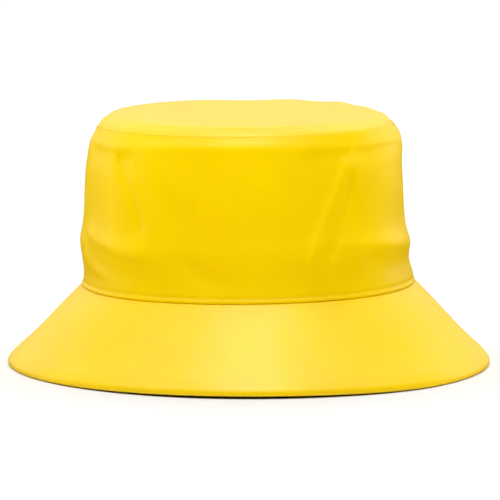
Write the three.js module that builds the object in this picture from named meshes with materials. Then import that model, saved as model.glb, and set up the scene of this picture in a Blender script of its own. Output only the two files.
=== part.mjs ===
// A rain bucket hat of smooth coated cloth, standing on its rim: a top panel, a side wall and a flared brim,
// each a closed shell of cloth with its real thickness, and open below for the head.
// Millimetres, +Z up. The origin is the middle of the rim, on the surface that the hat stands on. The front
// of the hat faces -Y and its right-hand side in a front view is +X.
import * as THREE from 'three';

// Driving dimensions
const CROWN_CLOTH = 1.6;
const BRIM_CLOTH = 2.2;
const ALLOWANCE_CLOTH = 1.4;
const ALLOWANCE_HEIGHTS = [46.6, 52]; // the brim's seam allowance, turned up inside the side wall
const SEAM_GAP = 0.4; // between two pieces that are sewn to each other
const BRIM_SEAM_Z = 45.4;
const TOP_SEAM_Z = 135;
const DEPTH_EXTRA = 10.5; // every oval is this much longer than wide, measured from its middle
const COLUMNS = 80; // steps round the hat
const INNER_STEP = 2; // the inner faces use every second section

// How the ovals change with height: halfWidth exponent, sideways drift of the middle, and the slight lean
// to the left, as a rise in z for each millimetre of x.
const STANCE = [
  { z: 0, ovalPower: 2.02, drift: 0, lean: 0 },
  { z: 45, ovalPower: 2.14, drift: -0.6, lean: 0.0112 },
  { z: 70, ovalPower: 2.14, drift: -0.5, lean: 0.0122 },
  { z: 125, ovalPower: 2.12, drift: -0.7, lean: 0.0145 },
  { z: 135.5, ovalPower: 2.12, drift: -1.9, lean: 0.0125 },
  { z: 141, ovalPower: 2.12, drift: -2.3, lean: -0.004 },
];

// Outer face of the top panel, from its seam to the middle
const TOP_SECTIONS = [
  { z: TOP_SEAM_Z + SEAM_GAP, halfWidth: 81.9 },
  { z: 136, halfWidth: 81.6 },
  { z: 136.8, halfWidth: 80.2 },
  { z: 137.8, halfWidth: 78.2 },
  { z: 138.7, halfWidth: 76.2 },
  { z: 139.7, halfWidth: 74 },
  { z: 140.4, halfWidth: 68.5 },
  { z: 141.1, halfWidth: 53 },
  { z: 141.5, halfWidth: 20 },
];

// Outer face of the side wall, from the brim seam up to the top seam
const SIDE_SECTIONS = [
  { z: BRIM_SEAM_Z + SEAM_GAP, halfWidth: 92.2 },
  { z: 48, halfWidth: 92 },
  { z: 52, halfWidth: 91.4 },
  { z: 57, halfWidth: 91 },
  { z: 62, halfWidth: 91.2 },
  { z: 67, halfWidth: 91.6 },
  { z: 72, halfWidth: 91.5 },
  { z: 76, halfWidth: 90.7 },
  { z: 82, halfWidth: 89.8 },
  { z: 90, halfWidth: 89.2 },
  { z: 100, halfWidth: 88.8 },
  { z: 110, halfWidth: 88.2 },
  { z: 118, halfWidth: 87.4 },
  { z: 125.6, halfWidth: 86.4 },
  { z: 128.4, halfWidth: 85.4 },
  { z: 131.6, halfWidth: 83.8 },
  { z: TOP_SEAM_Z, halfWidth: 82.2 },
];

// The hem's rounded edge, from inside the rim over the flat ring that the hat stands on and up its outside
const HEM_SECTIONS = [
  { z: 1.6, halfWidth: 130.1 },
  { z: 0, halfWidth: 130.7 },
  { z: 0, halfWidth: 132.9 },
  { z: 0.8, halfWidth: 133.8 },
  { z: 2, halfWidth: 134 },
  { z: 3.3, halfWidth: 133.5 },
];

// Upper face of the brim, from the hem up to the brim seam
const BRIM_SECTIONS = [
  { z: 4.9, halfWidth: 132.2 },
  { z: 7.7, halfWidth: 129.5 },
  { z: 12.8, halfWidth: 123.9 },
  { z: 19.6, halfWidth: 117 },
  { z: 26.4, halfWidth: 110.6 },
  { z: 33.2, halfWidth: 104.3 },
  { z: 41.6, halfWidth: 96.1 },
  { z: 44.4, halfWidth: 92.8 },
  { z: BRIM_SEAM_Z, halfWidth: 90.2 },
];

// Folds and dents of the side wall. Each runs between two places, a turn in degrees (0 at +X, -90 at the
// front) with a height, and stands out by push, or in where push is negative. It fades over spreadA on its
// left and spreadB on its right, seen along its run from outside.
const SIDE_FOLDS = [
  { name: 'left cheek', turnA: 180, zA: 108, turnB: 180, zB: 76, spreadA: 26, spreadB: 26, push: 2.3 },
  { name: 'left fullness', turnA: -150, zA: 116, turnB: -146, zB: 84, spreadA: 14, spreadB: 12, push: 0.9 },
  { name: 'left valley 1', turnA: -142, zA: 119, turnB: -131, zB: 84, spreadA: 4, spreadB: 5, push: -1.2 },
  { name: 'left valley 2', turnA: -138, zA: 124, turnB: -126, zB: 92, spreadA: 4, spreadB: 4, push: -0.8 },
  { name: 'left diagonal', turnA: -128, zA: 125, turnB: -111, zB: 102, spreadA: 9, spreadB: 5, push: 1.1 },
  { name: 'left crease', turnA: -162, zA: 76, turnB: -131, zB: 68, spreadA: 7, spreadB: 2.6, push: 1.2 },
  { name: 'low left', turnA: -166, zA: 63, turnB: -132, zB: 46, spreadA: 5, spreadB: 5, push: 1.2 },
  { name: 'low middle', turnA: -113, zA: 68, turnB: -95, zB: 51, spreadA: 5, spreadB: 6, push: -1.3 },
  { name: 'middle hollow', turnA: -90, zA: 98, turnB: -76, zB: 82, spreadA: 9, spreadB: 9, push: -0.6 },
  { name: 'right corner', turnA: -54, zA: 118, turnB: -68, zB: 76, spreadA: 9, spreadB: 4.5, push: 1.9 },
  { name: 'right hollow', turnA: -53, zA: 104, turnB: -62, zB: 72, spreadA: 5, spreadB: 8, push: -1.6 },
  { name: 'right crease', turnA: -58, zA: 75.5, turnB: -14, zB: 68, spreadA: 6, spreadB: 3, push: 0.9 },
  { name: 'right under', turnA: -44, zA: 65, turnB: 24, zB: 50, spreadA: 5, spreadB: 8, push: -1 },
  { name: 'right waist', turnA: 0, zA: 108, turnB: 0, zB: 82, spreadA: 20, spreadB: 20, push: -3.8 },
  { name: 'back left', turnA: 128, zA: 118, turnB: 140, zB: 80, spreadA: 10, spreadB: 12, push: 1 },
  { name: 'back middle', turnA: 96, zA: 112, turnB: 84, zB: 82, spreadA: 12, spreadB: 12, push: -1.2 },
  { name: 'back right', turnA: 52, zA: 118, turnB: 60, zB: 78, spreadA: 12, spreadB: 9, push: 1 },
];

// Slow waves of the rim, as a turn in degrees, the degrees that they fade over, how far they stand out and
// how far they lift the rim off the surface
const RIM_WAVES = [
  { name: 'right front', turn: -50, spread: 20, push: 3.4, lift: 0 },
  { name: 'front', turn: -92, spread: 42, push: 4.5, lift: 1.65 },
  { name: 'left', turn: 174, spread: 18, push: 0.7, lift: 0 },
  { name: 'back', turn: 90, spread: 42, push: 2.5, lift: 0 },
];

// Where the shoulder gives way, as a place, the degrees and the height that the dent fades over, and how far
// it stands out
const SHOULDER_DENTS = [
  { name: 'right', turn: -2, z: 135.5, spread: 30, fade: 5, push: -2 },
  { name: 'right under it', turn: -4, z: 121, spread: 30, fade: 5, push: 0.7 },
  { name: 'front fullness', turn: -98, z: 129.8, spread: 45, fade: 3.2, push: 1.2 },
];

// How far the top seam hangs down at the sides and the front. It slides along the shoulder's outline.
const SEAM_DROPS = [
  { name: 'right', turn: 0, spread: 24, drop: 3.4 },
  { name: 'left', turn: 180, spread: 26, drop: 2.6 },
  { name: 'front', turn: -94, spread: 48, drop: 1 },
];

// Shallow lumps of the top panel and its edge, as a turn and half width, a spread in millimetres and a rise
const TOP_LUMPS = [
  { name: 'back rise', turn: 70, halfWidth: 76, spread: 12, rise: 0.7 },
  { name: 'back dip', turn: 92, halfWidth: 76, spread: 14, rise: -1.1 },
  { name: 'right corner 1', turn: 45, halfWidth: 76, spread: 9, rise: 1.1 },
  { name: 'right corner 2', turn: 20, halfWidth: 77, spread: 9, rise: 0.5 },
  { name: 'sag', turn: -100, halfWidth: 20, spread: 45, rise: -0.8 },
];

const FOLD_RADIUS = 95; // turns a turn into millimetres along the wall
const FOLDS_START_Z = 48; // the folds grow from nothing here
const FOLDS_FULL_Z = 60;
const FOLDS_WANE_Z = 124; // and fade out from here
const FOLDS_END_Z = 134;
const LUMPS_START_Z = 127; // the lumps of the top grow from nothing here
const LUMPS_FULL_Z = 136;
const SEAM_DROP_FADES = 7; // the seam's drop has faded out this far above and below the seam

function between(rows, z, column) {
  const last = rows.length - 1;
  if (z <= rows[0].z) return rows[0][column];
  if (z >= rows[last].z) return rows[last][column];
  const above = rows.findIndex((row) => row.z > z);
  const low = rows[above - 1];
  const high = rows[above];
  return THREE.MathUtils.mapLinear(z, low.z, high.z, low[column], high[column]);
}

const wrap = (degrees) => THREE.MathUtils.euclideanModulo(degrees + 180, 360) - 180;

// How far one fold moves the wall outwards at a turn and a height. The place is measured along the fold's
// run and across it, and the push falls off with the distance as a bell curve.
function foldPush(fold, turn, z) {
  const toMillimetres = THREE.MathUtils.DEG2RAD * FOLD_RADIUS;
  const run = new THREE.Vector2(wrap(fold.turnB - fold.turnA) * toMillimetres, fold.zB - fold.zA);
  const place = new THREE.Vector2(wrap(turn - fold.turnA) * toMillimetres, z - fold.zA);
  const length = run.length();
  const along = place.dot(run) / length;
  const share = THREE.MathUtils.clamp(along / length, 0, 1);
  const across = place.cross(run) / length;
  const past = along - share * length;
  const spread = across > 0 ? fold.spreadB : fold.spreadA;
  return fold.push * Math.exp(-(across ** 2 + past ** 2) / spread ** 2);
}

function wallPush(turn, z) {
  const { smoothstep } = THREE.MathUtils;
  const share = smoothstep(z, FOLDS_START_Z, FOLDS_FULL_Z) * (1 - smoothstep(z, FOLDS_WANE_Z, FOLDS_END_Z));
  return share * SIDE_FOLDS.reduce((sum, fold) => sum + foldPush(fold, turn, z), 0);
}

// A bell curve that is 1 where the distance is 0
const bell = (distance, spread) => Math.exp(-((distance / spread) ** 2));

function shoulderPush(turn, z) {
  return SHOULDER_DENTS.reduce(
    (sum, dent) => sum + dent.push * bell(wrap(turn - dent.turn), dent.spread) * bell(z - dent.z, dent.fade),
    0,
  );
}

// One column of the rim's waves summed at a turn
function rimWave(turn, column) {
  return RIM_WAVES.reduce((sum, wave) => sum + wave[column] * bell(wrap(turn - wave.turn), wave.spread), 0);
}

// A section's place after the top seam's drop at this turn
function slideSeam(halfWidth, z, turn) {
  const drop = SEAM_DROPS.reduce((sum, row) => sum + row.drop * bell(wrap(turn - row.turn), row.spread), 0);
  const share = 1 - THREE.MathUtils.smoothstep(Math.abs(z - TOP_SEAM_Z), 0, SEAM_DROP_FADES);
  const lower = z - drop * share;
  const outline = [...SIDE_SECTIONS, ...TOP_SECTIONS];
  const wider = between(outline, lower, 'halfWidth') - between(outline, z, 'halfWidth');
  return { halfWidth: halfWidth + wider, z: lower };
}

function topLumps(x, y, z) {
  const share = THREE.MathUtils.smoothstep(z, LUMPS_START_Z, LUMPS_FULL_Z);
  return share * TOP_LUMPS.reduce((sum, lump) => {
    const turn = THREE.MathUtils.degToRad(lump.turn);
    const fromX = x - lump.halfWidth * Math.cos(turn);
    const fromY = y - (lump.halfWidth + DEPTH_EXTRA) * Math.sin(turn);
    return sum + lump.rise * bell(Math.hypot(fromX, fromY), lump.spread);
  }, 0);
}

// The sections moved inwards by the cloth's thickness, square to the outline between them
function insideOf(sections, thickness) {
  return sections.map((section, i) => {
    const before = sections[Math.max(i - 1, 0)];
    const after = sections[Math.min(i + 1, sections.length - 1)];
    const rise = after.z - before.z;
    const widen = after.halfWidth - before.halfWidth;
    const length = Math.hypot(rise, widen);
    const side = Math.sign(rise) || 1;
    return {
      z: section.z + (side * thickness * widen) / length,
      halfWidth: section.halfWidth - (side * thickness * rise) / length,
    };
  });
}

// Turns a round lathe of the outline into the hat's leaning ovals, and presses the folds into it
function shapeToHat(geometry) {
  const position = geometry.getAttribute('position');
  const seamHalfWidth = TOP_SECTIONS[0].halfWidth;
  for (let i = 0; i < position.count; i += 1) {
    const angle = Math.atan2(position.getY(i), position.getX(i));
    const turn = THREE.MathUtils.radToDeg(angle);
    const round = Math.hypot(position.getX(i), position.getY(i));
    const { halfWidth, z } = slideSeam(round, position.getZ(i), turn);
    const power = 2 / between(STANCE, z, 'ovalPower');
    const across = Math.sign(Math.cos(angle)) * Math.abs(Math.cos(angle)) ** power;
    const along = Math.sign(Math.sin(angle)) * Math.abs(Math.sin(angle)) ** power;
    const extra = DEPTH_EXTRA * Math.min(1, halfWidth / seamHalfWidth);
    const rimShare = THREE.MathUtils.clamp(1 - z / BRIM_SEAM_Z, 0, 1);
    const push = wallPush(turn, z) + shoulderPush(turn, z) + rimShare * rimWave(turn, 'push');
    const x = halfWidth * across + between(STANCE, z, 'drift') + push * Math.cos(angle);
    const y = (halfWidth + extra) * along + push * Math.sin(angle);
    const lift = between(STANCE, z, 'lean') * x + rimShare ** 2 * rimWave(turn, 'lift') + topLumps(x, y, z);
    position.setXYZ(i, x, y, z + lift);
  }
  geometry.computeVertexNormals();
  return geometry;
}

function clothShell(name, outline, colour, roughness) {
  const points = outline.map((section) => new THREE.Vector2(section.halfWidth, section.z));
  const geometry = new THREE.LatheGeometry(points, COLUMNS);
  geometry.rotateX(Math.PI / 2);
  const material = new THREE.MeshStandardMaterial({ color: colour, roughness, metalness: 0 });
  const mesh = new THREE.Mesh(shapeToHat(geometry), material);
  mesh.name = name;
  return mesh;
}

// The inner face's sections, from the last one back to the first
function liningOf(sections, thickness) {
  return insideOf(sections, thickness).filter((_, i) => i % INNER_STEP === 0).reverse();
}

function crownTop() {
  const topZ = TOP_SECTIONS[TOP_SECTIONS.length - 1].z;
  const outer = [...TOP_SECTIONS, { z: topZ, halfWidth: 0 }];
  const inner = [{ z: topZ - CROWN_CLOTH, halfWidth: 0 }, ...liningOf(TOP_SECTIONS, CROWN_CLOTH)];
  return clothShell('crown_top', [...inner, ...outer], 0xffe04a, 0.42);
}

function crownSide() {
  const inner = liningOf(SIDE_SECTIONS, CROWN_CLOTH);
  return clothShell('crown_side', [...SIDE_SECTIONS, ...inner, SIDE_SECTIONS[0]], 0xfad200, 0.42);
}

function brim() {
  const wallInside = CROWN_CLOTH + SEAM_GAP;
  const allowance = ALLOWANCE_HEIGHTS.map((z) => ({
    z,
    halfWidth: between(SIDE_SECTIONS, z, 'halfWidth') - wallInside,
  }));
  const upper = [...HEM_SECTIONS, ...BRIM_SECTIONS, ...allowance];
  const allowanceInner = insideOf(allowance, ALLOWANCE_CLOTH).reverse();
  const lower = liningOf(BRIM_SECTIONS, BRIM_CLOTH).reverse();
  return clothShell('brim', [...upper, ...allowanceInner, ...lower, HEM_SECTIONS[0]], 0xffdf45, 0.42);
}

const hat = new THREE.Group();
hat.add(crownTop(), crownSide(), brim());

export default hat;
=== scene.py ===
"""A rain bucket hat of satin coated cloth, standing on its rim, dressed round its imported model.

The shape tables are in millimetres and turn into metres where a mesh is made. Every panel of cloth is an
outline carried round leaning ovals, with folds pressed into it.
"""

import bpy
import numpy as np
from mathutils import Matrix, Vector


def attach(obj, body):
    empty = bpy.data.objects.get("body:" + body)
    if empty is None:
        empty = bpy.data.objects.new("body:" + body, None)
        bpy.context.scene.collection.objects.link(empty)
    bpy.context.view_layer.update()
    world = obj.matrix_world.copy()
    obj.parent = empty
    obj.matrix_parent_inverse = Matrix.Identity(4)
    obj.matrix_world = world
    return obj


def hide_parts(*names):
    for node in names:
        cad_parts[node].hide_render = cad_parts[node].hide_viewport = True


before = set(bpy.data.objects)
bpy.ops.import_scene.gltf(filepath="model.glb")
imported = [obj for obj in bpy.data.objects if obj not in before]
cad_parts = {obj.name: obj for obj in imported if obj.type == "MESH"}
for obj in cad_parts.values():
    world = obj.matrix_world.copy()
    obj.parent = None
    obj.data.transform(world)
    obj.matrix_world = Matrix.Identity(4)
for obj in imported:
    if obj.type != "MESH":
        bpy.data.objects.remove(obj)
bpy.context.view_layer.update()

MM = 0.001
DEPTH_EXTRA = 10.5  # how much longer than wide an oval is, measured from its middle
FOLD_RADIUS = 95.0  # turns an angle into millimetres along the wall
TOP_EDGE_HALF_WIDTH = 82.1  # a narrower oval has only its share of the extra depth
BRIM_SEAM_Z = 45.4

# The topstitching round the brim seam, 2.27 mm from one stitch to the next
STITCHES = 270
STITCH_Z = 47.9
STITCHED_ROWS = slice(5, 12)  # of the side wall's outside, which rises steadily there
STITCH_SHARE = 0.78  # of the pitch, from needle hole to needle hole
STITCH_SINK, STITCH_RISE = -0.3, 0.36  # the foot of the half sine under the cloth's face, and its height
STITCH_ENDS = 0.08  # of the half sine, left off at each end so that the thread has a thickness there
STITCH_SECTIONS = 6
THREAD_WIDTH = 0.45
THREAD_SIDES = 6
PUCKER_DIP, HOLE_DIP = 0.04, 0.13  # how deep the wall dips between the holes, and how much more at one
PUCKER_FADE = 0.5  # how far up and down the dip fades
PUCKERED_HALF_WIDTH = 91.2  # beside the stitching the wall's outside is wider than this, its inside isn't

# How fine the meshes are, and how much closer their rows lie at a panel's edges
WALL_COLUMNS = 4 * STITCHES  # so that each stitch gets its own small pucker
WALL_ROWS, WALL_INSIDE_ROWS, WALL_CROWDING = 68, 18, 0.75
BRIM_COLUMNS = 600
BRIM_ROWS, BRIM_INSIDE_ROWS, BRIM_CROWDING = 118, 40, 0.6
TOP_STEPS = 160  # grid cells across the top panel
TOP_SAMPLES, TOP_CROWDING = 400, 0.35  # samples from edge to middle, and how much its rings crowd outward
CURVE_STEPS = 24  # samples between two points of an outline, from which its rows are taken
OVAL_SAMPLES = 3601  # round the brim seam's oval, from which its even columns are taken

# The photograph's view. The distance and the aim are in millimetres, and the elevation in degrees.
PHOTO_WIDTH, PIXELS_PER_MM = 500, 1.793
CAMERA_DISTANCE, CAMERA_ELEVATION, CAMERA_AIM = 3000.0, 6.58, (0.33, 0, 62.8)
CAMERA_REACH = 100  # in metres, so that the whole floor is seen

# Colours and roughness. The yellow of the cloth's face varies between two near shades.
CLOTH_DEEP, CLOTH_LIGHT = "#F6CD00", "#FBD300"
CLOTH_ROUGHNESS, CLOTH_ROUGHNESS_CHANGE = 0.42, 0.03
BACKING_DEEP, BACKING_LIGHT = "#D9B21E", "#EFCD3E"
THREAD_COLOUR = "#FBD524"
PAPER_GREY = 0.6  # the linear share of the light that the paper scatters back

# Real sizes of the patterns, in millimetres: how wide and, for a relief, how deep
PATCH_SIZE = 38  # of the slow change of colour
SATIN_SIZE = 17  # of the slow change of roughness
RIPPLE_SIZE, RIPPLE_DEPTH = 26, 0.9
WEAVE_PITCH, WEAVE_DEPTH = 0.32, 0.008
GRAIN_SIZE, GRAIN_DEPTH = 0.7, 0.05
BACKING_PITCH, BACKING_DEPTH = 0.45, 0.07
BACKING_RIPPLE_SIZE, BACKING_RIPPLE_DEPTH = 21, 0.6
PLY_SIZE, PLY_DEPTH = 0.25, 0.05
NOISE_MIDDLE = (0.3, 0.7)  # most of a noise's values lie between these

# Lights, in metres and watts. All of them but the paper light fall on the hat alone. The softboxes and
# gleams show in its shine, and the fills and glows don't.
LIGHT_AIM = (0, 0, 0.07)
SOFTBOXES = {
    "top_softbox": {"place": (0, -0.25, 2.27), "size": (0.8, 1.5), "power": 32},
    "left_softbox": {"place": (-1.17, 0, 1.94), "size": (0.9, 0.9), "power": 7},
    "right_softbox": {"place": (1.17, 0, 1.94), "size": (0.9, 0.9), "power": 4.3},
}
FILLS = {
    "front_fill": {"place": (0, -2.2, 0.46), "size": (0.9, 0.9), "power": 24},
    "left_fill": {"place": (-1.97, 0.92, 0.46), "size": (0.9, 0.9), "power": 19},
    "right_fill": {"place": (2.05, 0.75, 0.46), "size": (0.9, 0.9), "power": 25},
}
GLEAMS = {
    "left_gleam": {"place": (-2.0, 0.95, 0.4), "size": (0.6, 0.8), "power": 1.6},
    "right_gleam": {"place": (1.85, 1.4, 0.4), "size": (0.6, 0.8), "power": 1.5},
}
# What the white paper throws back at the hat, as lights that lie on it and shine straight up
GLOW_Z = 0.001
PAPER_GLOWS = {
    "front_left_paper": {"place": (-0.9, -1.0), "size": (1.8, 1.6), "power": 13.5},
    "front_right_paper": {"place": (0.9, -1.0), "size": (1.8, 1.6), "power": 10},
    "left_paper": {"place": (-1.0, 0), "size": (1.6, 0.4), "power": 3.3},
    "right_paper": {"place": (1.0, 0), "size": (1.6, 0.4), "power": 2},
    "back_paper": {"place": (0, 1.0), "size": (3.6, 1.6), "power": 20},
}
PAPER_LIGHT_POWER, PAPER_LIGHT_SPREAD = 4.9, 100  # watts on each square metre, and degrees across
FLOOR_HALF_SIZE = 20.0  # in metres
RIM_PAPER_HALF_WIDTH, RIM_PAPER_Z, RIM_PAPER_CORNERS = 150, -0.1, 96  # the first two in millimetres

# The backdrop's strength is the product of ramps along the axes of the direction looked in: the axis, where
# the ramp starts and ends, and the strengths there. It is pale behind the hat and dark in front and below.
BACKDROP_RAMPS = (
    ("Y", 0.3, 0.75, 0, 1),
    ("Z", 0.3, 0.6, 0.75, 1.7),
    ("Z", -0.02, 0.12, 0.08, 1),
)

# How the ovals change with height: the power of the oval, the drift of its middle to the right, and the
# slight lean, as a rise for each millimetre to the right.
STANCE = {
    "z": (0, 45, 70, 125, 135.5, 141),
    "oval_power": (2.02, 2.14, 2.14, 2.12, 2.12, 2.12),
    "drift": (0, -0.6, -0.5, -0.7, -1.9, -2.3),
    "lean": (0, 0.0112, 0.0122, 0.0145, 0.0125, -0.004),
}

# Outlines, as (half width, z). The top panel's start at its tucked edge and end in the middle.
TOP_OUTSIDE = (
    (80.9, 133.6), (81.25, 133.7), (81.4, 134), (81.46, 134.4), (81.42, 134.8), (81.2, 135.2),
    (80.75, 135.7), (80.1, 136.25), (79.3, 136.8), (78.2, 137.45), (76.2, 138.55), (74.8, 139.3),
    (72.6, 139.9), (68.5, 140.4), (62, 140.8), (50, 141.2), (34, 141.4), (18, 141.5), (0, 141.5),
)
TOP_INSIDE = (
    (80.4, 133.8), (80.2, 134.8), (79.6, 135.6), (77.4, 136.7), (74, 138.3), (71.6, 138.8), (62, 139.6),
    (48, 140), (18, 140.3), (0, 140.3),
)

# The side wall, from its folded lower edge up to its folded upper edge, and down again inside
SIDE_OUTSIDE = (
    (91, 45.8), (91.6, 45.4), (92.3, 45.35), (92.7, 45.65), (92.8, 46.2), (92.6, 46.9), (92.15, 47.5),
    (91.8, 47.95), (91.78, 48.4), (91.85, 49.2), (91.7, 50.5), (91.3, 53), (91, 57), (91.1, 61),
    (91.4, 64.5), (91.7, 68), (91.6, 71.5), (91.1, 74.5), (90.5, 77), (89.9, 81), (89.3, 88), (88.9, 98),
    (88.3, 109), (87.5, 117), (86.9, 122.5), (86.4, 125.8), (86, 127.3), (85.4, 128.4), (84.4, 130.3),
    (83.5, 132.2), (82.75, 133.9), (82.3, 134.85), (82.05, 135.3), (81.9, 135.48), (81.74, 135.5),
    (81.6, 135.36), (81.58, 134.8), (81.57, 133.9),
)
SIDE_INSIDE = (
    (81.8, 133.2), (82.1, 132.4), (82.8, 130.9), (84, 127.8), (85.2, 124.5), (86, 119), (87.1, 108),
    (87.7, 98), (88.1, 88), (88.7, 81), (89.4, 76), (90.2, 71), (90.4, 67.5), (90, 63), (89.8, 57),
    (90.2, 51), (90.5, 48.5), (90.6, 47),
)

# The brim, from the foot of its hem over the hem's face and seam line, up the slope, under the side wall's
# folded edge and up the seam allowance inside it, and down again inside
BRIM_OUTSIDE = (
    (131.1, 0.7), (131.4, 0.2), (131.9, 0), (132.7, 0), (133.35, 0.2), (133.8, 0.65), (134, 1.3),
    (134, 2), (133.85, 2.6), (133.5, 3.3), (132.9, 4.1), (131.6, 5.55), (129.5, 7.75), (123.9, 12.8),
    (117, 19.6), (110.6, 26.4), (104.3, 33.2), (99, 38.7), (95.2, 42.6), (93.3, 44.5), (92.3, 45.15),
    (91.2, 45.3), (90.4, 45.8), (90, 47), (89.8, 50), (89.4, 54.8), (89, 55),
)
BRIM_INSIDE = (
    (88.5, 54.8), (88.8, 50.5), (88.9, 47), (89.1, 45.2), (90.5, 43.6), (93.8, 41.1), (102.9, 31.8),
    (109.2, 25), (115.6, 18.2), (122.5, 11.4), (128.1, 6.4), (130.2, 3.6), (130.8, 1.9),
)

# Folds and dents of the side wall, each from one place to another. Turns are in degrees, 0 at +X and -90
# at the front. bow bends the run sideways, the two spreads are how far it fades to its left and right,
# seen along its run from outside, and push is how far it stands out.
FOLD_COLUMNS = ("turn_a", "z_a", "turn_b", "z_b", "bow", "spread_a", "spread_b", "push")
SIDE_FOLDS = {
    "left cheek": (180, 108, 180, 76, 0, 26, 26, 2.3),
    "left fullness": (-150, 116, -146, 84, 0, 14, 12, 0.9),
    "left valley 1": (-143, 119, -131, 84, 2, 5, 3.2, -1.7),
    "left valley 2": (-138, 124, -126, 92, 2, 4, 4, -0.8),
    "left diagonal": (-128, 125, -111, 102, 0, 9, 5, 1.1),
    "left under the shoulder": (-164, 123, -138, 121, 0, 3, 6, -0.7),
    "left crease": (-162, 76, -131, 68, 0, 7, 2.2, 1.3),
    "low left": (-166, 63, -132, 46, 0, 5, 5, 1.2),
    "low middle": (-113, 68, -95, 51, 0, 5, 6, -1.3),
    "middle hollow": (-90, 98, -76, 82, 0, 9, 9, -0.6),
    "front smooth": (-120, 69, -62, 69, 0, 7, 7, -0.45),
    "right corner": (-54, 118, -68, 76, 0, 9, 3.4, 2.1),
    "right hollow": (-52, 104, -61, 72, 0, 4, 8, -1.9),
    "right under the shoulder": (-68, 123.5, -20, 124.5, 0, 3, 6, -0.9),
    "right crease": (-58, 75.5, -14, 68, 0, 6, 3, 0.9),
    "right under": (-44, 65, 24, 50, 0, 5, 8, -1),
    "right waist": (0, 108, 0, 82, 0, 20, 20, -3.8),
    "back left": (128, 118, 140, 80, 2, 10, 12, 1),
    "back middle": (96, 112, 84, 82, 0, 12, 12, -1.2),
    "back right": (52, 118, 60, 78, 0, 12, 9, 1),
}
FOLDS_GROW = (48, 60)  # the folds grow from nothing between these heights
FOLDS_WANE = (124, 134)  # and fade out between these

# Slow waves of the rim: the turn and fade in degrees, how far they stand out and how far they lift the rim
RIM_WAVES = {
    "right front": (-50, 20, 3.4, 0),
    "front": (-92, 39, 4.5, 1.35),
    "left": (174, 18, 0.7, 0),
    "back": (90, 42, 2.5, 0),
}

# Where the shoulder gives way: the turn and height, how far it fades in degrees and in millimetres, and how
# far it stands out
SHOULDER_DENTS = {
    "right": (-2, 135.5, 30, 5, -2),
    "right under it": (-4, 121, 30, 5, 0.7),
    "front fullness": (-98, 129.8, 45, 3.2, 1.2),
    "right front fullness": (-46, 135, 24, 5, 1.8),
}

# The top seam hangs lower at the sides and a little lower at the front: the turn, fade and drop. It slides
# along the shoulder's outline, and the cloth up to its reach above and below goes with it, ever less.
TOP_SEAM_Z, SEAM_DROP_REACH = 135.2, 7
SEAM_DROPS = {"right": (0, 24, 3.4), "left": (180, 26, 2.6), "front": (-94, 48, 1)}
SHOULDER = {
    "z": (124, 127.3, 130.3, 132.2, 135.2, 136.7, 137.7, 138.7, 139.4, 140),
    "half_width": (86.7, 86, 84.4, 83.5, 82, 80.2, 78.2, 76.2, 74.8, 72.6),
}

# Shallow lumps of the top panel and its edge: the turn, half width, fade and rise
TOP_LUMPS = {
    "back rise": (70, 76, 12, 0.7),
    "back dip": (92, 76, 14, -1.1),
    "right corner 1": (45, 76, 9, 1.1),
    "right corner 2": (27, 77, 6, 0.5),
    "right corner 3": (13, 78, 6, 0.5),
    "sag": (-100, 20, 45, -0.8),
}
LUMPS_GROW = (127, 136)  # the lumps grow from nothing between these heights


def wrap(degrees):
    """The same turn between -180 and 180 degrees."""
    return (degrees + 180) % 360 - 180


def smooth_share(value, low, high):
    """0 below low, 1 above high, and a smooth step between them."""
    share = np.clip((value - low) / (high - low), 0, 1)
    return share * share * (3 - 2 * share)


def fold_push(row, turn, z):
    """A bell curve of the distance from the fold's run, which is measured across it and past its ends. The
    run bends sideways by bow times a parabola of the share of the way along it."""
    fold = dict(zip(FOLD_COLUMNS, row))
    to_mm = np.radians(FOLD_RADIUS)
    run_x, run_z = wrap(fold["turn_b"] - fold["turn_a"]) * to_mm, fold["z_b"] - fold["z_a"]
    x, y = wrap(turn - fold["turn_a"]) * to_mm, z - fold["z_a"]
    length = np.hypot(run_x, run_z)
    along = (x * run_x + y * run_z) / length
    share = np.clip(along / length, 0, 1)
    across = (x * run_z - y * run_x) / length + fold["bow"] * 4 * share * (1 - share)
    past = along - share * length
    spread = np.where(across > 0, fold["spread_b"], fold["spread_a"])
    return fold["push"] * np.exp(-(across**2 + past**2) / spread**2)


def wall_push(turn, z):
    """The sum of the side wall's folds, which fade out towards both seams."""
    share = smooth_share(z, *FOLDS_GROW) * (1 - smooth_share(z, *FOLDS_WANE))
    return share * sum(fold_push(row, turn, z) for row in SIDE_FOLDS.values())


def bell(turn, at, fade):
    """A bell curve of the turn, 1 in its middle: e to the power of minus the squared distance in fades."""
    return np.exp(-((wrap(turn - at) / fade) ** 2))


def shoulder_push(turn, z):
    """The sum of the shoulder's dents, each a bell curve of the turn and of the height."""
    return sum(
        push * np.exp(-((wrap(turn - at) / fade_turn) ** 2) - ((z - at_z) / fade_z) ** 2)
        for at, at_z, fade_turn, fade_z, push in SHOULDER_DENTS.values()
    )


def slide_seam(half_width, z, turn):
    """The half width and height after the seam's drop, a bell curve of the turn that fades away from the
    seam. The half width changes by as much as the shoulder's own does over that drop."""
    drop = sum(depth * bell(turn, at, fade) for at, fade, depth in SEAM_DROPS.values())
    lower = z - drop * (1 - smooth_share(np.abs(z - TOP_SEAM_Z), 0, SEAM_DROP_REACH))
    before, after = (np.interp(height, SHOULDER["z"], SHOULDER["half_width"]) for height in (z, lower))
    return half_width + (after - before), lower


def rim_wave(turn, z):
    """How far the brim stands out and how far it is lifted: sums of bell curves of the turn, times the share
    of the way from the seam down to the rim, which is squared for the lift."""
    share = np.clip(1 - z / BRIM_SEAM_Z, 0, 1)
    out = share * sum(push * bell(turn, at, fade) for at, fade, push, _ in RIM_WAVES.values())
    rise = share**2 * sum(lift * bell(turn, at, fade) for at, fade, _, lift in RIM_WAVES.values())
    return out, rise


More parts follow.
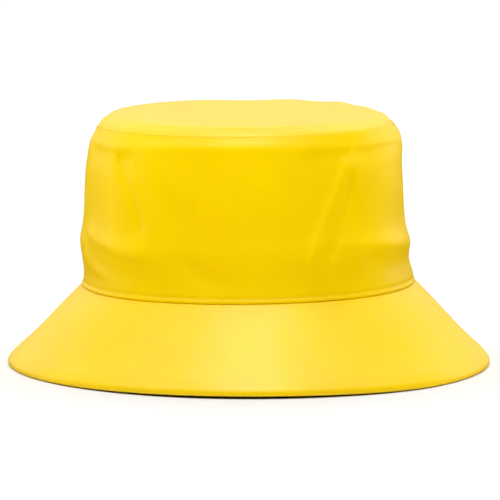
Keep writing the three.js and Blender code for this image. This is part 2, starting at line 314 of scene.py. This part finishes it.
def top_lumps(x, y, z):
    """The sum of round bell curves about each lump's place on the top panel."""
    rise = 0
    for turn, half_width, fade, lift in TOP_LUMPS.values():
        angle = np.radians(turn)
        at_x, at_y = half_width * np.cos(angle), (half_width + DEPTH_EXTRA) * np.sin(angle)
        rise = rise + lift * np.exp(-((x - at_x) ** 2 + (y - at_y) ** 2) / fade**2)
    return rise * smooth_share(z, *LUMPS_GROW)


def smooth_line(points, steps, crowd=0.0):
    """A curve through the points (Catmull-Rom), sampled along its length. The samples are even but for crowd
    times a sine wave, which draws them closer together at both ends."""
    padded = np.array(points, float)
    padded = np.vstack([2 * padded[0] - padded[1], padded, 2 * padded[-1] - padded[-2]])
    t = np.linspace(0, 1, CURVE_STEPS, endpoint=False)[:, None, None]
    before, start, end, after = padded[:-3], padded[1:-2], padded[2:-1], padded[3:]
    square = 2 * before - 5 * start + 4 * end - after
    cube = 3 * start - before - 3 * end + after
    curve = 0.5 * (2 * start + (end - before) * t + square * t**2 + cube * t**3)
    line = np.vstack([curve.transpose(1, 0, 2).reshape(-1, 2), padded[-2]])
    length = np.concatenate([[0], np.cumsum(np.hypot(*np.diff(line, axis=0).T))])
    share = np.linspace(0, 1, steps)
    at = length[-1] * (share - crowd * np.sin(2 * np.pi * share) / (2 * np.pi))
    return np.column_stack([np.interp(at, length, line[:, i]) for i in (0, 1)])


def oval(half_width, z, angle):
    """The plain oval: x is the half width times the cosine to the power 2 / oval power, and y is the half
    width plus the extra depth times the sine to that power. The small ovals of the top have only their
    share of the extra depth."""
    power = 2 / np.interp(z, STANCE["z"], STANCE["oval_power"])
    x = half_width * np.sign(np.cos(angle)) * np.abs(np.cos(angle)) ** power
    extra = DEPTH_EXTRA * np.minimum(1, half_width / TOP_EDGE_HALF_WIDTH)
    y = (half_width + extra) * np.sign(np.sin(angle)) * np.abs(np.sin(angle)) ** power
    return x, y


def on_hat(half_width, z, angle, lift=0.0):
    """The hat's leaning oval at a half width, height and angle, moved out by the folds and by lift.

    The oval drifts to the right with height, the folds push along the angle, and z rises with x by the
    lean and with the lumps of the top and the waves of the rim.
    """
    turn = np.degrees(angle)
    half_width, z = slide_seam(half_width, z, turn)
    x, y = oval(half_width, z, angle)
    out, rise = rim_wave(turn, z)
    push = wall_push(turn, z) + shoulder_push(turn, z) + out + lift
    x = x + np.interp(z, STANCE["z"], STANCE["drift"]) + push * np.cos(angle)
    y = y + push * np.sin(angle)
    rise = rise + np.interp(z, STANCE["z"], STANCE["lean"]) * x + top_lumps(x, y, z)
    return np.stack([x, y, z + rise], axis=-1)


def even_angles(count):
    """Angles that cut the brim seam's oval into equal lengths, from the middle of the back all round."""
    fine = np.linspace(0.5 * np.pi, 2.5 * np.pi, OVAL_SAMPLES)
    x, y = oval(SIDE_OUTSIDE[0][0], np.full_like(fine, BRIM_SEAM_Z), fine)
    length = np.concatenate([[0], np.cumsum(np.hypot(np.diff(x), np.diff(y)))])
    return np.interp(np.arange(count) / count * length[-1], length, fine)


def ring_faces(rows, columns):
    """Four corners for each cell of a grid that closes round both its rows and its columns."""
    row, column = np.meshgrid(np.arange(rows), np.arange(columns), indexing="ij")
    next_row, next_column = (row + 1) % rows, (column + 1) % columns
    corners = (row * columns + column, row * columns + next_column)
    corners += (next_row * columns + next_column, next_row * columns + column)
    return np.stack(corners, axis=-1).reshape(-1, 4)


def add_object(name, data):
    """An object of the scene, from its mesh, light or camera."""
    item = bpy.data.objects.new(name, data)
    bpy.context.scene.collection.objects.link(item)
    return item


def mesh_object(name, points, faces, inner_faces, uv):
    """One smooth mesh piece in metres, from points in millimetres, four-cornered faces, a mark for each
    face that is inside, and the place of each corner on the flat cloth in millimetres."""
    mesh = bpy.data.meshes.new(name)
    flat = points.reshape(-1, 3)
    mesh.vertices.add(len(flat))
    mesh.vertices.foreach_set("co", (flat * MM).astype(np.float32).ravel())
    mesh.loops.add(faces.size)
    mesh.loops.foreach_set("vertex_index", faces.astype(np.int32).ravel())
    mesh.polygons.add(len(faces))
    mesh.polygons.foreach_set("loop_start", np.arange(0, faces.size, 4, dtype=np.int32))
    mesh.update(calc_edges=True)
    mesh.polygons.foreach_set("use_smooth", np.ones(len(faces), bool))
    mesh.polygons.foreach_set("material_index", np.asarray(inner_faces).astype(np.int32))
    layer = mesh.uv_layers.new(name="flat_cloth")
    layer.data.foreach_set("uv", (uv * MM).astype(np.float32).ravel())
    mesh.validate()
    return add_object(name, mesh)


def dress(piece, node, materials):
    """Gives a finished piece its materials and slot, and puts it in the place of a node if one is named."""
    for material in materials:
        piece.data.materials.append(material)
    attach(piece, "root")
    if node:
        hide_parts(node)
    return piece


def cloth_ring(name, outside, inside, columns, lift=None):
    """A ring of cloth: the closed outline, outside then inside, carried round the hat's ovals.

    The flat cloth's u is the mean length round the ring, and its v is the length along the outline, with
    1 mm for the step that closes it.
    """
    outline = np.vstack([outside, inside])
    rows = len(outline)
    angle = even_angles(columns)[None, :]
    half_width, z = outline[:, :1], outline[:, 1:]
    points = on_hat(half_width, z, angle, 0.0 if lift is None else lift(half_width, z, angle))
    faces = ring_faces(rows, columns)
    along = np.concatenate([[0], np.cumsum(np.linalg.norm(np.diff(outline, axis=0), axis=1))])
    step = 2 * np.pi * (outline[:, 0].mean() + DEPTH_EXTRA / 2) / columns
    u = np.arange(columns) * step
    v = np.append(along, along[-1] + 1)
    row, column = np.meshgrid(np.arange(rows), np.arange(columns), indexing="ij")
    corner_u = np.stack([u[column], u[column] + step, u[column] + step, u[column]], axis=-1)
    corner_v = np.stack([v[row], v[row], v[row + 1], v[row + 1]], axis=-1)
    inner = np.repeat(np.arange(rows) >= len(outside) - 1, columns)
    return mesh_object(name, points, faces, inner, np.stack([corner_u, corner_v], axis=-1))


def seam_puckers(half_width, z, angle):
    """The wall's dip along the stitching: a bell curve of the height, which a cosine round the seam deepens
    at each needle hole."""
    column = np.arange(angle.size)[None, :]
    hole = 0.5 + 0.5 * np.cos(2 * np.pi * column * STITCHES / angle.size)
    dip = (PUCKER_DIP + HOLE_DIP * hole) * np.exp(-(((z - STITCH_Z) / PUCKER_FADE) ** 2))
    return np.where(half_width > PUCKERED_HALF_WIDTH, -dip, 0)


def side_wall():
    """The wall of the crown: its outline carried round the ovals, with the puckers of the stitching."""
    outside = smooth_line(SIDE_OUTSIDE, WALL_ROWS, WALL_CROWDING)
    inside = smooth_line(SIDE_INSIDE, WALL_INSIDE_ROWS)
    return cloth_ring("side_wall", outside, inside, WALL_COLUMNS, seam_puckers)


def brim_panel():
    """The brim with its turned hem and seam allowance: its outline carried round the ovals."""
    outside = smooth_line(BRIM_OUTSIDE, BRIM_ROWS, BRIM_CROWDING)
    inside = smooth_line(BRIM_INSIDE, BRIM_INSIDE_ROWS)
    return cloth_ring("brim_panel", outside, inside, BRIM_COLUMNS)


def top_panel():
    """Two square grids bent to discs (each square ring becomes a circle), joined at their edges.

    A place (a, b) of the square goes to the radius that is the larger of |a| and |b|, and to the angle
    that the other one's share of it gives within a quarter turn. The place along the outline, counted from
    the middle, is the radius times a factor that falls from 1 plus the crowding to 1 with the square of the
    radius. The flat cloth is the panel seen from above.
    """
    side = TOP_STEPS + 1
    b, a = np.meshgrid(np.linspace(-1, 1, side), np.linspace(-1, 1, side), indexing="ij")
    wide = np.abs(a) >= np.abs(b)
    radius = np.where(wide, a, b)
    share = np.divide(np.where(wide, b, a), radius, out=np.zeros_like(a), where=radius != 0)
    angle = np.where(wide, share, 2 - share) * np.pi / 4
    angle = np.arctan2(radius * np.sin(angle), radius * np.cos(angle))
    layers = []
    along = np.linspace(0, 1, TOP_SAMPLES)
    place = np.clip(1 - np.abs(radius) * (1 + TOP_CROWDING - TOP_CROWDING * radius**2), 0, 1)
    for outline in (TOP_OUTSIDE, TOP_INSIDE):
        half_width, z = (np.interp(place, along, values) for values in smooth_line(outline, TOP_SAMPLES).T)
        layers.append(on_hat(half_width, z, angle).reshape(-1, 3))
    cell = np.arange(side * side).reshape(side, side)
    upper = np.stack([cell[:-1, :-1], cell[:-1, 1:], cell[1:, 1:], cell[1:, :-1]], axis=-1).reshape(-1, 4)
    lower = upper[:, ::-1] + side * side
    edge = np.concatenate([cell[0, :-1], cell[:-1, -1], cell[-1, :0:-1], cell[:0:-1, 0]])
    after = np.roll(edge, -1)
    rim = np.stack([edge, edge + side * side, after + side * side, after], axis=-1)
    points = np.vstack(layers)
    faces = np.vstack([upper, lower, rim])
    inner = np.repeat([False, True, True], [len(upper), len(lower), len(rim)])
    return mesh_object("top_panel", points, faces, inner, points[faces.ravel(), :2].reshape(-1, 4, 2))


def topstitching():
    """Short arcs of thread on the wall, each sinking into the cloth at both of its ends.

    Each stitch is a six-sided tube. Its height above the cloth follows a half sine, and its radius follows
    the square root of that. Two faces close each of its ends.
    """
    edges = np.append(even_angles(STITCHES), even_angles(1) + 2 * np.pi)
    start, end = edges[:-1, None], edges[1:, None]
    share = np.linspace(0, 1, STITCH_SECTIONS)[None, :]
    angle = start + (end - start) * (0.5 + STITCH_SHARE * (share - 0.5))
    arch = np.sin(np.pi * (STITCH_ENDS + (1 - 2 * STITCH_ENDS) * share))
    wall_half_width, wall_z = np.array(SIDE_OUTSIDE[STITCHED_ROWS]).T
    half_width = np.interp(STITCH_Z, wall_z, wall_half_width)
    centre = on_hat(half_width, np.full_like(angle, STITCH_Z), angle, STITCH_SINK + STITCH_RISE * arch)
    radius = (THREAD_WIDTH / 2 * np.sqrt(arch))[..., None, None]
    round_angle = np.linspace(0, 2 * np.pi, THREAD_SIDES, endpoint=False)[None, None, :, None]
    outward = np.stack([np.cos(angle), np.sin(angle), np.zeros_like(angle)], axis=-1)[:, :, None, :]
    upward = np.array([0, 0, 1.0])
    points = centre[:, :, None, :] + radius * (np.cos(round_angle) * outward + np.sin(round_angle) * upward)
    section, side = np.meshgrid(np.arange(STITCH_SECTIONS - 1), np.arange(THREAD_SIDES), indexing="ij")
    here, beside = section * THREAD_SIDES + side, section * THREAD_SIDES + (side + 1) % THREAD_SIDES
    tube = np.stack([here, here + THREAD_SIDES, beside + THREAD_SIDES, beside], axis=-1).reshape(-1, 4)
    first = np.array([[0, 1, 2, 3], [0, 3, 4, 5]])
    last = np.array([[3, 2, 1, 0], [5, 4, 3, 0]]) + (STITCH_SECTIONS - 1) * THREAD_SIDES
    one = np.vstack([tube, first, last])
    step = STITCH_SECTIONS * THREAD_SIDES
    faces = (one[None] + np.arange(STITCHES)[:, None, None] * step).reshape(-1, 4)
    uv = np.tile(np.array([[0, 0], [1, 0], [1, 1], [0, 1.0]]), (len(faces), 1))
    return mesh_object("topstitching", points, faces, np.zeros(len(faces)), uv)


def colour(hex_code):
    """An sRGB hex colour as linear red, green, blue and alpha, by the standard curve: a straight line for
    the darkest shades and a power of 2.4 above them."""
    srgb = np.array([int(hex_code[i : i + 2], 16) for i in (1, 3, 5)]) / 255
    linear = np.where(srgb <= 0.04045, srgb / 12.92, ((srgb + 0.055) / 1.055) ** 2.4)
    return (*linear.tolist(), 1.0)


def add_node(tree, kind, inputs=None, **settings):
    """Adds a node with its settings, and gives each of its inputs a link from a socket or a plain value."""
    node = tree.nodes.new(kind)
    for name, value in settings.items():
        setattr(node, name, value)
    for place, value in (inputs or {}).items():
        if isinstance(value, bpy.types.NodeSocket):
            tree.links.new(value, node.inputs[place])
        else:
            node.inputs[place].default_value = value
    return node


def new_material(name, values):
    """A material with its node tree and shader, with plain values set on the shader's own sockets."""
    material = bpy.data.materials.new(name)
    material.use_nodes = True
    shader = material.node_tree.nodes["Principled BSDF"]
    for socket, value in values.items():
        shader.inputs[socket].default_value = value
    return material, material.node_tree, shader


def lumps(tree, place, size_mm, detail=2.0):
    """Soft noise whose lumps are about a real size across: its scale is 1 over that size in metres."""
    inputs = {"Vector": place, "Scale": 1 / (size_mm * MM), "Detail": detail}
    return add_node(tree, "ShaderNodeTexNoise", inputs).outputs["Fac"]


def stretched(tree, pattern, low, high):
    """A pattern whose middle values are stretched in a straight line over a range, and cut off past it."""
    start, end = NOISE_MIDDLE
    ends = {"From Min": start, "From Max": end, "To Min": low, "To Max": high}
    return add_node(tree, "ShaderNodeMapRange", {"Value": pattern, **ends}).outputs["Result"]


def relief(tree, *layers):
    """The normal of bumps laid one over another, each given as its pattern and its depth in millimetres."""
    normal = {}
    for pattern, depth_mm in layers:
        heights = {"Height": pattern, "Distance": depth_mm * MM, "Strength": 1.0}
        normal = {"Normal": add_node(tree, "ShaderNodeBump", {**heights, **normal}).outputs["Normal"]}
    return normal["Normal"]


def between(tree, share, deep, light):
    """The colour between two shades that a pattern picks."""
    shades = {"Factor": share, "A": colour(deep), "B": colour(light)}
    return add_node(tree, "ShaderNodeMix", shades, data_type="RGBA").outputs["Result"]


def plain_weave(tree, pitch_mm):
    """Threads over and under each other: the product of two sine waves along the flat cloth, one thread's
    width to half a wave."""
    layout = add_node(tree, "ShaderNodeUVMap", uv_map="flat_cloth")
    split = add_node(tree, "ShaderNodeSeparateXYZ", {"Vector": layout.outputs["UV"]})
    waves = []
    for way in ("X", "Y"):
        factors = {0: split.outputs[way], 1: np.pi / (pitch_mm * MM)}
        turn = add_node(tree, "ShaderNodeMath", factors, operation="MULTIPLY").outputs[0]
        waves.append(add_node(tree, "ShaderNodeMath", {0: turn}, operation="SINE").outputs[0])
    return add_node(tree, "ShaderNodeMath", dict(enumerate(waves)), operation="MULTIPLY").outputs[0]


def coated_cloth_material():
    """Rain cloth with a satin polyurethane skin: an even, clear yellow with a soft broad shine. The skin's
    fine grain and the weave under it break the shine up close, and shallow ripples make it wander."""
    values = {"Roughness": CLOTH_ROUGHNESS, "IOR": 1.45}
    material, tree, shader = new_material("polyurethane_coated_cloth", values)
    place = add_node(tree, "ShaderNodeTexCoord").outputs["Object"]
    patches = stretched(tree, lumps(tree, place, PATCH_SIZE), 0, 1)
    tree.links.new(between(tree, patches, CLOTH_DEEP, CLOTH_LIGHT), shader.inputs["Base Color"])
    least, most = CLOTH_ROUGHNESS - CLOTH_ROUGHNESS_CHANGE, CLOTH_ROUGHNESS + CLOTH_ROUGHNESS_CHANGE
    tree.links.new(stretched(tree, lumps(tree, place, SATIN_SIZE), least, most), shader.inputs["Roughness"])
    ripples = (lumps(tree, place, RIPPLE_SIZE, detail=1.0), RIPPLE_DEPTH)
    weave = (plain_weave(tree, WEAVE_PITCH), WEAVE_DEPTH)
    grain = (lumps(tree, place, GRAIN_SIZE, detail=3.0), GRAIN_DEPTH)
    tree.links.new(relief(tree, ripples, weave, grain), shader.inputs["Normal"])
    return material


def backing_material():
    """The cloth's uncoated back inside the crown: matt woven polyester, a little paler, with its threads
    plain to see and a faint sheen on them."""
    values = {"Roughness": 0.75, "IOR": 1.5, "Sheen Weight": 0.25}
    material, tree, shader = new_material("woven_polyester_backing", values)
    place = add_node(tree, "ShaderNodeTexCoord").outputs["Object"]
    weave = plain_weave(tree, BACKING_PITCH)
    crossings = add_node(tree, "ShaderNodeMath", {0: weave}, operation="ABSOLUTE").outputs[0]
    threads = stretched(tree, crossings, 0, 1)
    tree.links.new(between(tree, threads, BACKING_DEEP, BACKING_LIGHT), shader.inputs["Base Color"])
    ripples = (lumps(tree, place, BACKING_RIPPLE_SIZE), BACKING_RIPPLE_DEPTH)
    tree.links.new(relief(tree, ripples, (weave, BACKING_DEPTH)), shader.inputs["Normal"])
    return material


def thread_material():
    """Polyester thread: a shade lighter than the cloth, with a soft gleam and the twist of its plies."""
    values = {"Roughness": 0.5, "IOR": 1.5, "Base Color": colour(THREAD_COLOUR)}
    material, tree, shader = new_material("polyester_thread", values)
    place = add_node(tree, "ShaderNodeTexCoord").outputs["Object"]
    tree.links.new(relief(tree, (lumps(tree, place, PLY_SIZE), PLY_DEPTH)), shader.inputs["Normal"])
    return material


def paper_material():
    """Matt white paper, which scatters light evenly and has no shine at all, so that the hat stands on an
    even white."""
    grey = (PAPER_GREY, PAPER_GREY, PAPER_GREY, 1)
    values = {"Base Color": grey, "Roughness": 0.9, "Specular IOR Level": 0.0}
    return new_material("matt_white_paper", values)[0]


def make_camera():
    """A long lens three metres away, a little above the hat, as the photograph's view. Its length is the
    pixels for each millimetre times the distance, times the sensor's width over the picture's."""
    elevation = np.radians(CAMERA_ELEVATION)
    forward = Vector((0, np.cos(elevation), -np.sin(elevation)))
    data = bpy.data.cameras.new("camera")
    data.lens = PIXELS_PER_MM * CAMERA_DISTANCE * data.sensor_width / PHOTO_WIDTH
    data.clip_end = CAMERA_REACH
    camera = add_object("camera", data)
    camera.location = (Vector(CAMERA_AIM) - CAMERA_DISTANCE * forward) * MM
    camera.rotation_euler = forward.to_track_quat("-Z", "Y").to_euler()
    bpy.context.scene.camera = camera


def make_backdrop():
    """The world, whose strength is the product of the backdrop's ramps."""
    world = bpy.data.worlds.new("backdrop")
    world.use_nodes = True
    tree = world.node_tree
    direction = add_node(tree, "ShaderNodeTexCoord").outputs["Object"]
    split = add_node(tree, "ShaderNodeSeparateXYZ", {"Vector": direction})
    strength = 1.0
    for axis, start, end, low, high in BACKDROP_RAMPS:
        ends = {"From Min": start, "From Max": end, "To Min": low, "To Max": high}
        ramp = add_node(tree, "ShaderNodeMapRange", {"Value": split.outputs[axis], **ends})
        factors = {0: strength, 1: ramp.outputs["Result"]}
        strength = add_node(tree, "ShaderNodeMath", factors, operation="MULTIPLY").outputs[0]
    background = tree.nodes["Background"]
    tree.links.new(strength, background.inputs["Strength"])
    background.inputs["Color"].default_value = (1, 1, 1, 1)
    bpy.context.scene.world = world


def only_these(name, objects):
    """A collection of objects, for a light that falls on nothing else."""
    group = bpy.data.collections.new(name)
    for item in objects:
        group.objects.link(item)
    return group


def area_light(name, receivers, place, size, power, glossy=True):
    """A soft rectangle of light that faces the hat, kept to the objects of one collection. A light that
    isn't glossy shows in no shine, so it isn't looked for along reflections."""
    data = bpy.data.lights.new(name, "AREA")
    data.shape = "RECTANGLE"
    data.size, data.size_y = size
    data.energy = power
    data.cycles.use_multiple_importance_sampling = glossy
    light = add_object(name, data)
    light.location = place
    light.rotation_euler = (Vector(LIGHT_AIM) - Vector(place)).to_track_quat("-Z", "Y").to_euler()
    light.visible_glossy = glossy
    light.light_linking.receiver_collection = receivers
    return light


def paper_glow(name, receivers, place, size, power):
    """A light that lies on the paper and shines straight up."""
    light = area_light(name, receivers, (*place, GLOW_Z), size, power, glossy=False)
    light.rotation_euler = (np.pi, 0, 0)
    light.visible_camera = False


def paper_light(receivers, power, spread):
    """A very wide overhead light on the paper alone, which leaves only a thin shadow round the rim."""
    data = bpy.data.lights.new("paper_light", "SUN")
    data.energy = power
    data.angle = np.radians(spread)
    light = add_object("paper_light", data)
    light.visible_glossy = False
    light.light_linking.receiver_collection = receivers


def light_hat(hat):
    """The softboxes, fills and gleams, and the glow of the paper all round."""
    for name, light in SOFTBOXES.items():
        area_light(name, hat, **light)
    for name, light in FILLS.items():
        area_light(name, hat, **light, glossy=False)
    for name, light in GLEAMS.items():
        area_light(name, hat, **light)
    for name, light in PAPER_GLOWS.items():
        paper_glow(name, hat, **light)


def paper_sheet(name, corners, material):
    """A flat sheet of paper that shows in no reflection."""
    mesh = bpy.data.meshes.new(name)
    mesh.from_pydata(corners, [], [range(len(corners))])
    mesh.materials.append(material)
    sheet = add_object(name, mesh)
    sheet.visible_glossy = False
    return sheet


def make_floor(material):
    """The wide floor, which catches the hat's shadow, and lights and shades nothing itself."""
    half = FLOOR_HALF_SIZE
    corners = [(-half, -half, 0), (half, -half, 0), (half, half, 0), (-half, half, 0)]
    floor = paper_sheet("floor", corners, material)
    floor.visible_diffuse = False
    floor.visible_shadow = False
    return floor


def make_rim_paper(material):
    """The paper under and next to the rim, an oval just below the floor. The camera doesn't see it, but the
    hat does, through the floor, so it lights the hem as far as the hat's own shadow lets it."""
    angle = np.linspace(0, 2 * np.pi, RIM_PAPER_CORNERS, endpoint=False)
    x, y = oval(RIM_PAPER_HALF_WIDTH, 0, angle)
    corners = np.stack([x, y, np.full_like(x, RIM_PAPER_Z)], axis=-1) * MM
    paper = paper_sheet("rim_paper", corners, material)
    paper.visible_camera = False
    return paper


coated_cloth = coated_cloth_material()
backing_cloth = backing_material()
polyester_thread = thread_material()

pieces = (
    dress(top_panel(), "crown_top", (coated_cloth, backing_cloth)),
    dress(side_wall(), "crown_side", (coated_cloth, backing_cloth)),
    dress(brim_panel(), "brim", (coated_cloth, coated_cloth)),
    dress(topstitching(), None, (polyester_thread,)),
)

make_camera()
make_backdrop()
white_paper = paper_material()
papers = only_these("paper_only", (make_floor(white_paper), make_rim_paper(white_paper)))
light_hat(only_these("hat_only", pieces))
paper_light(papers, PAPER_LIGHT_POWER, PAPER_LIGHT_SPREAD)
bpy.context.scene.view_settings.view_transform = "Standard"
